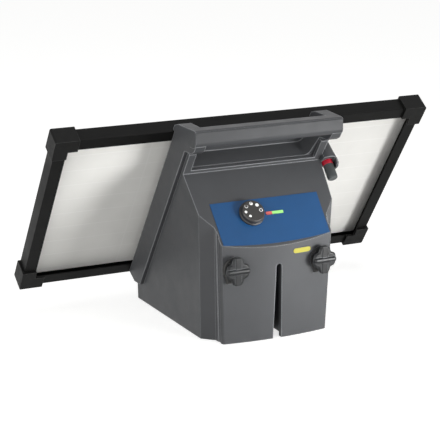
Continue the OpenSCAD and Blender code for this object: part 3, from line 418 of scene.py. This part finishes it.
# white polymer back sheet, laminated: faint ribbon lines and dimples show through from the cells
def laminatedBackSheet(name, values):
    material, tree = newMaterial(name)
    low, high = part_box("back_sheet")
    middle = (Vector(low) + Vector(high)) / 2
    slopeLength = math.hypot(high[1] - low[1], high[2] - low[2])
    place = addNode(tree, "ShaderNodeTexCoord").outputs["Object"]
    # Object coordinates are centred and turned flat: x runs across the panel, y down its slope
    centred = addNode(tree, "ShaderNodeVectorMath", {0: place, 1: tuple(-c for c in middle)},
                      operation="ADD").outputs["Vector"]
    flat = addNode(tree, "ShaderNodeVectorRotate",
                   {"Vector": centred, "Angle": math.radians(90 - values["lean"])},
                   rotation_type="X_AXIS").outputs["Vector"]
    parts = addNode(tree, "ShaderNodeSeparateXYZ", {"Vector": flat})
    lineMasks = []
    for axis, size, count in (("Y", slopeLength, values["cellsDown"]),
                              ("X", high[0] - low[0], values["cellsAcross"])):
        pitch = (size - 2 * values["margin"] * mm) / count
        steps = addNode(tree, "ShaderNodeMath", {0: parts.outputs[axis], 1: pitch},
                        operation="DIVIDE").outputs["Value"]
        shifted = addNode(tree, "ShaderNodeMath", {0: steps, 1: 0.5 * (count % 2)},
                          operation="ADD").outputs["Value"]
        away = addNode(tree, "ShaderNodeMath", {0: shifted, 1: 0.5}, operation="PINGPONG")
        mask = addNode(tree, "ShaderNodeMapRange",
                       {"Value": away.outputs["Value"], "From Min": 0.0,
                        "From Max": values["lineHalf"] * mm / pitch, "To Min": 1.0, "To Max": 0.0},
                       interpolation_type="SMOOTHSTEP")
        lineMasks.append(mask.outputs["Result"])
    ribbon = addNode(tree, "ShaderNodeMath", {0: lineMasks[0], 1: lineMasks[1]},
                     operation="MAXIMUM").outputs["Value"]
    cloud = unevenness(tree, place, values["cloud"], detail=4.0)
    body = addNode(tree, "ShaderNodeMix",
                   {0: cloud, 6: linear(values["colour"]), 7: linear(values["shadeColour"])},
                   data_type="RGBA").outputs[2]
    faint = addNode(tree, "ShaderNodeMath", {0: ribbon, 1: values["lineShare"]},
                    operation="MULTIPLY").outputs["Value"]
    colour = addNode(tree, "ShaderNodeMix",
                     {0: faint, 6: body, 7: linear(values["lineColour"])},
                     data_type="RGBA").outputs[2]
    ripple = addNode(tree, "ShaderNodeMath",
                     {0: unevenness(tree, place, values["ripple"]), 1: ribbon},
                     operation="ADD").outputs["Value"]
    bump = addNode(tree, "ShaderNodeBump",
                   {"Height": ripple, "Strength": values["depth"],
                    "Distance": values["rippleHeight"] * mm})
    return finishMaterial(material, tree, {
        "Base Color": colour, "Roughness": values["rough"], "Normal": bump.outputs["Normal"]})


coverGlass = {
    "colour": "#eef4f4", "rough": 0.05, "ior": 1.5, "specular": 0.25,
    "grain": 1.2, "grainHeight": 0.1, "depth": 0.003,
}


# tempered glass over the cells: clear, with a faint prismatic texture against glare
def temperedGlass(name, values):
    material, tree = newMaterial(name)
    place = addNode(tree, "ShaderNodeTexCoord").outputs["Object"]
    bump = addNode(tree, "ShaderNodeBump",
                   {"Height": unevenness(tree, place, values["grain"]),
                    "Strength": values["depth"], "Distance": values["grainHeight"] * mm})
    return finishMaterial(material, tree, {
        "Base Color": linear(values["colour"]), "Roughness": values["rough"],
        "IOR": values["ior"], "Specular IOR Level": values["specular"],
        "Transmission Weight": 1.0, "Normal": bump.outputs["Normal"]})


# printed lines that run down the panel side by side: fingers and ribbons have half their pitch,
# how far from its middle a line is solid and where it ends, in mm, and how strongly it shows
cellPrint = {
    "colour": "#0b1230", "cloudColour": "#0e173a", "silver": "#aeb3ba", "cloud": 60,
    "fingers": (3.0, 0.1, 0.25, 0.5), "ribbons": (23.5, 0.5, 0.7, 0.9),
    "rough": 0.35, "specular": 0.1,
}


# silicon cells: near-black blue, crossed by silver ribbons and hair-thin fingers
def siliconCells(name, values):
    material, tree = newMaterial(name)
    place = addNode(tree, "ShaderNodeTexCoord").outputs["Object"]
    across = addNode(tree, "ShaderNodeSeparateXYZ", {"Vector": place}).outputs["X"]
    masks = []
    for halfPitch, solid, end, share in (values["fingers"], values["ribbons"]):
        away = addNode(tree, "ShaderNodeMath", {0: across, 1: halfPitch * mm},
                       operation="PINGPONG").outputs["Value"]
        masks.append(addNode(tree, "ShaderNodeMapRange",
                             {"Value": away, "From Min": solid * mm, "From Max": end * mm,
                              "To Min": share, "To Max": 0.0}).outputs["Result"])
    silver = addNode(tree, "ShaderNodeMath", {0: masks[0], 1: masks[1]},
                     operation="MAXIMUM").outputs["Value"]
    body = addNode(tree, "ShaderNodeMix",
                   {0: unevenness(tree, place, values["cloud"]), 6: linear(values["colour"]),
                    7: linear(values["cloudColour"])}, data_type="RGBA").outputs[2]
    colour = addNode(tree, "ShaderNodeMix",
                     {0: silver, 6: body, 7: linear(values["silver"])},
                     data_type="RGBA").outputs[2]
    return finishMaterial(material, tree, {
        "Base Color": colour, "Roughness": values["rough"],
        "Specular IOR Level": values["specular"]})


# makes every finish, and gives each CAD node the one that its slot names
def dressSlots():
    bySlot = {
        "back_sheet": laminatedBackSheet("laminatedBackSheet", panelSheet),
        "glass": temperedGlass("temperedGlass", coverGlass),
        "cells": siliconCells("siliconCells", cellPrint),
    }
    for table, make in ((plastics, mouldedPlastic), (anodised, anodisedAluminium),
                        (brightMetals, brightMetal), (films, printedFilm)):
        for name, values in table.items():
            material = make(name, values)
            bySlot.update({slot: material for slot in values["slots"]})
    for part in frame["record"]["subparts"]:
        piece = nodes[part["node"]]
        material = bySlot[part["material_slot"]]
        if not piece.material_slots:
            piece.data.materials.append(material)
        for slot in piece.material_slots:
            slot.material = material
    return bySlot


finishes = dressSlots()
print("materials:", len(finishes), "slots dressed")


# welds a mesh, turns its faces outwards, and makes it a piece with its slot's finish on a body
def finishPiece(bm, name, slot, body, *replaced):
    weld = 0.005 * mm
    bmesh.ops.remove_doubles(bm, verts=bm.verts, dist=weld)
    bmesh.ops.recalc_face_normals(bm, faces=bm.faces)
    mesh = bpy.data.meshes.new(name)
    bm.to_mesh(mesh)
    bm.free()
    piece = bpy.data.objects.new(name, mesh)
    scene.collection.objects.link(piece)
    mesh.materials.append(finishes[slot])
    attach(piece, body)
    for node in replaced:
        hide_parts(node)
    return piece


def bevelEdges(bm, edges, radius, segments):
    bmesh.ops.bevel(bm, geom=edges, offset=radius, offset_type="OFFSET", affect="EDGES",
                    segments=segments, profile=0.5, material=-1)


def boxBetween(bm, low, high):
    made = bmesh.ops.create_cube(bm, size=1.0)["verts"]
    size = [high[i] - low[i] for i in range(3)]
    middle = [(high[i] + low[i]) / 2 for i in range(3)]
    bmesh.ops.scale(bm, vec=size, verts=made)
    bmesh.ops.translate(bm, vec=middle, verts=made)
    return made


# the sleeve moulded round the handle's bar: its flat front hangs lower than the bar itself, and
# rolls under in a wide curve along its foot; mm by which it passes the bar's cover each way
gripSleeve = {
    "side": 0.12, "proud": 0.6, "hang": 10.2, "rise": 2.8, "depth": 20.6,
    "footRadius": 9.0, "footSegments": 10, "edgeRadius": 0.8, "edgeSegments": 3,
}


def makeGripSleeve(values):
    coverLow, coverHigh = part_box("handle_cover")
    half = coverHigh[0] + values["side"] * mm
    front = coverLow[1] - values["proud"] * mm
    rear = front + values["depth"] * mm
    low = coverLow[2] - values["hang"] * mm
    high = coverHigh[2] + values["rise"] * mm
    bm = bmesh.new()
    boxBetween(bm, (-half, front, low), (half, rear, high))
    foot = [edge for edge in bm.edges
            if all(vert.co.y < front + touch and vert.co.z < low + touch for vert in edge.verts)]
    bevelEdges(bm, foot, values["footRadius"] * mm, values["footSegments"])
    rims = [edge for edge in bm.edges
            if all(vert.co.y < front + touch for vert in edge.verts)
            and any(vert.co.z > high - touch for vert in edge.verts)]
    bevelEdges(bm, rims, values["edgeRadius"] * mm, values["edgeSegments"])
    return finishPiece(bm, "gripSleeve", "handle_cover", "energizer", "handle_cover")


# terminal knob: four lobes with shallow flutes between them, a rounded wing bar across its front
# that stands proud, and a rib down it; sizes in mm
terminalKnob = {
    "gap": 0.165,                             # in front of the washer
    "depth": 9.2, "crown": 1.8,               # of the body, and of the dome ahead of it
    "halfWidth": 18.6, "halfHeight": 21.0,    # at the body's front
    "rearShare": 0.84, "frontShare": 0.84,    # of that size, at the washer and on the dome
    "lobes": 4, "sides": 48,
    "flute": 0.22, "sharpness": 4,            # how deep the flutes cut, and how narrow they are
    "rimRadius": 0.8, "rimAngle": 20, "segments": 3,
    "root": 5.0,                              # how far the bars reach back into the body
    # half length, how far it stands ahead of the body, half height, edge radius
    "bars": {"wing": (18.4, 5.2, 4.2, 3.8), "rib": (5.0, 3.0, 20.4, 1.2)},
}


# the knob's outline: a circle drawn in between the lobes, upright and facing the user
def lobedOutline(bm, values):
    outline = bmesh.ops.create_circle(bm, cap_ends=True, radius=1.0,
                                      segments=values["sides"])["verts"]
    for vert in outline:
        around = math.atan2(vert.co.y, vert.co.x)
        between = 0.5 - 0.5 * math.cos(values["lobes"] * around)
        vert.co *= 1 - values["flute"] * between ** values["sharpness"]
    bmesh.ops.transform(bm, matrix=Matrix.Rotation(math.radians(90), 4, "X"), verts=outline)
    half, tall = (values[key] * values["rearShare"] * mm for key in ("halfWidth", "halfHeight"))
    bmesh.ops.scale(bm, vec=(half, 1, tall), verts=outline)
    return bm.faces[:][0]


def makeKnob(values, side):
    bm = bmesh.new()
    face = lobedOutline(bm, values)
    stages = ((values["depth"], 1 / values["rearShare"]), (values["crown"], values["frontShare"]))
    for depth, size in stages:
        made = bmesh.ops.extrude_face_region(bm, geom=[face])["geom"]
        face = [part for part in made if isinstance(part, bmesh.types.BMFace)][0]
        verts = face.verts[:]
        bmesh.ops.translate(bm, vec=(0, -depth * mm, 0), verts=verts)
        bmesh.ops.scale(bm, vec=(size, 1, size), verts=verts)
    bm.normal_update()
    rims = [edge for edge in bm.edges
            if abs(edge.verts[0].co.y - edge.verts[1].co.y) < touch
            and edge.calc_face_angle(0) > math.radians(values["rimAngle"])]
    bevelEdges(bm, rims, values["rimRadius"] * mm, values["segments"])
    shoulder = -values["depth"]
    for long, ahead, high, radius in values["bars"].values():
        front, back = shoulder - ahead, shoulder + values["root"]
        verts = boxBetween(bm, (-long * mm, front * mm, -high * mm),
                           (long * mm, back * mm, high * mm))
        edges = {edge for vert in verts for edge in vert.link_edges}
        bevelEdges(bm, list(edges), radius * mm, values["segments"])
    low, high = (Vector(corner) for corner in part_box(side + "_knob"))
    middle = (low + high) / 2
    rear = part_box(side + "_washer")[0][1] - values["gap"] * mm
    bmesh.ops.translate(bm, vec=(middle.x, rear, middle.z), verts=bm.verts)
    return finishPiece(bm, side + "KnobCap", "terminal_knob", side + "_knob_body",
                       side + "_knob")


# white marks printed round the dial, from off to full: each is laid where its image point meets
# the dial's face; sizes in mm
dialMarks = {
    "thick": 0.12, "sunk": 0.02, "sides": 40,
    "thinnest": 0.05,      # of a crescent's horns
    "overlap": 0.2,        # of a half mark's filling past its middle
    # point: (outer radius, inner radius, inner circle's shift up the mark, filled half)
    "shapes": {
        "markRing": (2.7, 1.9, 0.0, False), "markFull": (2.6, 0.0, 0.0, False),
        "markHalf": (2.6, 2.0, 0.0, True), "markCrescent": (2.6, 2.2, 0.75, False),
        "markDotHigh": (2.1, 0.0, 0.0, False), "markDotLow": (2.0, 0.0, 0.0, False),
    },
    "ink": {"colour": "#f4f4f2", "cloudColour": "#ececea", "rough": 0.5},
}


# a mark's flat shape, lying at the origin
def drawMark(bm, values, shape):
    outer, inner, shift, filled = shape
    bmesh.ops.create_circle(bm, cap_ends=inner == 0, radius=outer * mm,
                            segments=values["sides"])
    if inner:
        hole = bmesh.ops.create_circle(bm, cap_ends=False, radius=inner * mm,
                                       segments=values["sides"])["verts"]
        most = outer - inner - values["thinnest"]
        bmesh.ops.translate(bm, vec=(0, min(shift, most) * mm, 0), verts=hole)
        bmesh.ops.bridge_loops(bm, edges=bm.edges[:])
    if filled:
        verts = bmesh.ops.create_circle(bm, cap_ends=True, radius=inner * mm,
                                        segments=values["sides"])["verts"]
        edges = [edge for vert in verts for edge in vert.link_edges]
        # the disc itself, and none of the ring's four-sided faces
        faces = [face for vert in verts for face in vert.link_faces if len(face.verts) > 4]
        bmesh.ops.bisect_plane(bm, geom=list(dict.fromkeys(verts + edges + faces)),
                               plane_co=(0, values["overlap"] * mm, 0), plane_no=(0, 1, 0),
                               clear_outer=True)


def makeMark(name, values, shape, ink):
    bm = bmesh.new()
    drawMark(bm, values, shape)
    grown = bmesh.ops.extrude_face_region(bm, geom=bm.faces[:])["geom"]
    bmesh.ops.translate(bm, vec=(0, 0, values["thick"] * mm),
                        verts=[part for part in grown if isinstance(part, bmesh.types.BMVert)])
    hit, normal = placeOn(name, "dial_knob")
    up = normal.cross(Vector((1, 0, 0))).normalized()
    place = Matrix((up.cross(normal), up, normal)).transposed().to_4x4()
    place.translation = hit - normal * values["sunk"] * mm
    bmesh.ops.transform(bm, matrix=place, verts=bm.verts)
    piece = finishPiece(bm, name, "dial", "dial")
    piece.data.materials[0] = ink
    return piece


makeGripSleeve(gripSleeve)
for side in ("left", "right"):
    makeKnob(terminalKnob, side)
print("sleeve and knobs made")

screenInk = printedFilm("screenPrintedInk", dialMarks["ink"])
for name, shape in dialMarks["shapes"].items():
    makeMark(name, dialMarks, shape, screenInk)
print("dial marks made:", len(dialMarks["shapes"]))


# soft plain light round a pale floor, in metres; a glow or world of 1 is white
studio = {
    "floorSize": 14.0, "floorColour": "#cfcfcd", "floorGlow": 0.72, "world": 0.38,
    # name: (place, aim, width, height, watts, spread in degrees)
    "lamps": {
        "nearRight": ((0.5, -0.74, 0.08), (0.1, -0.13, 0.05), 0.5, 0.36, 1.6, 50),
        "frontLeft": ((-1.6, -1.9, 0.15), (-0.1, 0.0, 0.16), 1.4, 0.6, 15, 180),
        "left": ((-2.2, -0.8, 0.6), (-0.1, 0.0, 0.2), 1.4, 1.0, 23, 180),
        "above": ((0.4, 0.9, 2.2), (0.0, 0.0, 0.2), 2.0, 1.4, 7, 180),
    },
}


# how far a ray shows the white background: seen directly, in a gloss, or through glass
def seenWhite(tree):
    path = addNode(tree, "ShaderNodeLightPath")
    plain = addNode(tree, "ShaderNodeMath",
                    {0: path.outputs["Is Camera Ray"], 1: path.outputs["Is Glossy Ray"]},
                    operation="MAXIMUM").outputs["Value"]
    return addNode(tree, "ShaderNodeMath", {0: plain, 1: path.outputs["Is Transmission Ray"]},
                   operation="MAXIMUM").outputs["Value"]


# world: white where it is seen, and dimmer as a light
def makeWorld(values):
    world = bpy.data.worlds.new("studio")
    scene.world = world
    world.use_nodes = True
    tree = world.node_tree
    tree.nodes.clear()
    strength = addNode(tree, "ShaderNodeMapRange",
                       {"Value": seenWhite(tree), "To Min": values["world"],
                        "To Max": 1.0}).outputs["Result"]
    light = addNode(tree, "ShaderNodeBackground", {"Color": (1, 1, 1, 1), "Strength": strength})
    addNode(tree, "ShaderNodeOutputWorld", {"Surface": light.outputs["Background"]})


# floor: matte paint that takes the object's shadow, with a glow that lifts it to white
def makeFloor(values):
    bm = bmesh.new()
    bmesh.ops.create_grid(bm, x_segments=1, y_segments=1, size=values["floorSize"] / 2)
    mesh = bpy.data.meshes.new("floor")
    bm.to_mesh(mesh)
    bm.free()
    floor = bpy.data.objects.new("floor", mesh)
    scene.collection.objects.link(floor)
    material, tree = newMaterial("paintedFloor")
    matte = addNode(tree, "ShaderNodeBsdfDiffuse", {"Color": linear(values["floorColour"])})
    part = addNode(tree, "ShaderNodeMath", {0: seenWhite(tree), 1: values["floorGlow"]},
                   operation="MULTIPLY").outputs["Value"]
    glow = addNode(tree, "ShaderNodeEmission", {"Color": (1, 1, 1, 1), "Strength": part})
    both = addNode(tree, "ShaderNodeAddShader",
                   {0: matte.outputs["BSDF"], 1: glow.outputs["Emission"]})
    addNode(tree, "ShaderNodeOutputMaterial", {"Surface": both.outputs["Shader"]})
    mesh.materials.append(material)


def makeLamps(lamps):
    for name, (place, aim, width, height, watts, spread) in lamps.items():
        data = bpy.data.lights.new(name, "AREA")
        data.shape = "RECTANGLE"
        data.size, data.size_y = width, height
        data.energy, data.spread = watts, math.radians(spread)
        lamp = bpy.data.objects.new(name, data)
        scene.collection.objects.link(lamp)
        lamp.location = place
        lamp.rotation_euler = (Vector(aim) - Vector(place)).to_track_quat("-Z", "Y").to_euler()
        lamp.visible_camera = False


makeWorld(studio)
makeFloor(studio)
makeLamps(studio["lamps"])
scene.view_settings.view_transform = "Standard"
print("studio ready")


# what each image point is on: the dial and its marks are noted by their middle, the rest by the
# nearest vertex
pointNodes = {
    "panelTopLeft": ["cap_top_left"], "panelTopRight": ["cap_top_right"],
    "panelBottomLeft": ["cap_bottom_left"], "panelBottomRight": ["cap_bottom_right"],
    "baseRearLeft": ["front_housing"], "baseFrontLeft": ["front_housing"],
    "baseFrontRight": ["front_housing"], "handleTopRight": ["rear_housing", "gripSleeve"],
    "slotTop": ["front_housing"],
}
middleNodes = {"dialCentre": "dial_knob", **{name: name for name in dialMarks["shapes"]}}


# how far in x and y each thing shows from its image point, and the object's edges from theirs
def writePoints():
    shown = {piece.name: [photoPlace(piece.matrix_world @ vertex.co)
                          for vertex in piece.data.vertices]
             for piece in scene.objects
             if piece.type == "MESH" and piece.name != "floor" and not piece.hide_render}
    places = {}
    for point, pieces in pointNodes.items():
        near = [place for piece in pieces for place in shown[piece]]
        places[point] = min(near, key=lambda place: math.dist(place, photo[point]))
    for point, piece in middleNodes.items():
        places[point] = tuple((min(axis) + max(axis)) / 2 for axis in zip(*shown[piece]))
    report = {point: [round(place[i] - photo[point][i], 2) for i in range(2)]
              for point, place in places.items()}
    everything = [place for pieces in shown.values() for place in pieces]
    for edge, axis, pick in (("left", 0, min), ("right", 0, max), ("top", 1, min),
                             ("bottom", 1, max)):
        report[edge] = round(pick(place[axis] for place in everything) - photo[edge], 2)


writePoints()
